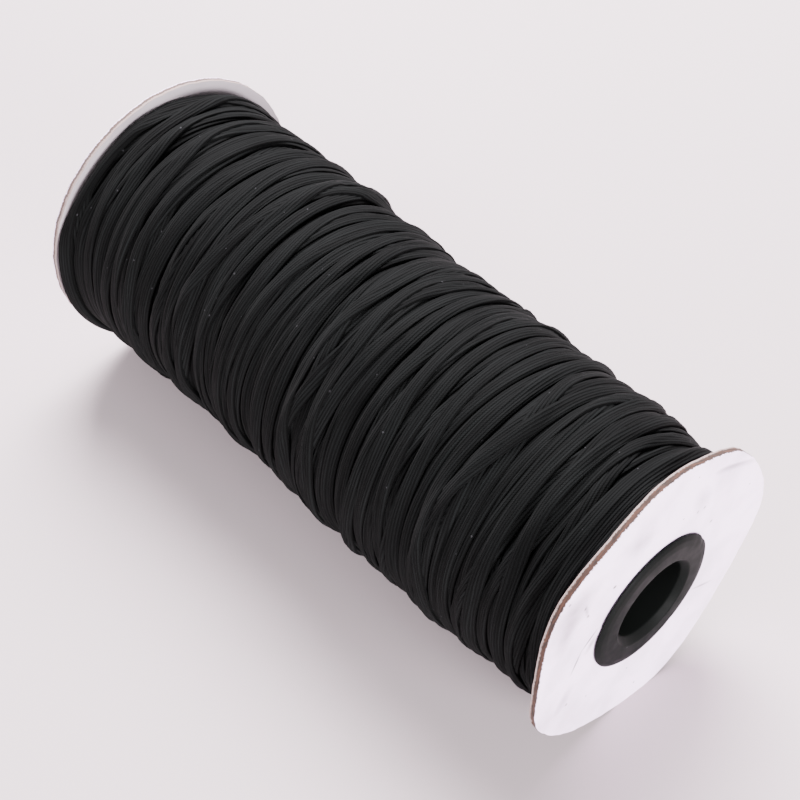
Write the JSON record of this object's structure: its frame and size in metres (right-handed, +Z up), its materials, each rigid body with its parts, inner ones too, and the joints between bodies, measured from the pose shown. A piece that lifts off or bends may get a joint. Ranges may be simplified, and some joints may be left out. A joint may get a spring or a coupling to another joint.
{
  "type": "reel of elastic",
  "caption": "Long narrow braided elastic cross-wound between two white card discs on a tube with flanged end bushes.",
  "frame": {"origin": "on the surface under the middle of the reel, which lies on its side", "axes": "+X along the reel's axis towards the near disc, +Z up"},
  "size_m": [0.1537, 0.065, 0.0647],
  "materials": {
    "elastic": "matt braided elastic with fine lengthwise ribs",
    "card": "greyboard with white paper liners, brown cut edge",
    "plastic": "satin moulded plastic"
  },
  "bodies": {
    "root": {"core_tube": "plastic", "winding": "elastic", "disc_near": "card", "disc_far": "card", "bush_near": "plastic", "bush_far": "plastic"}
  },
  "joints": []
}
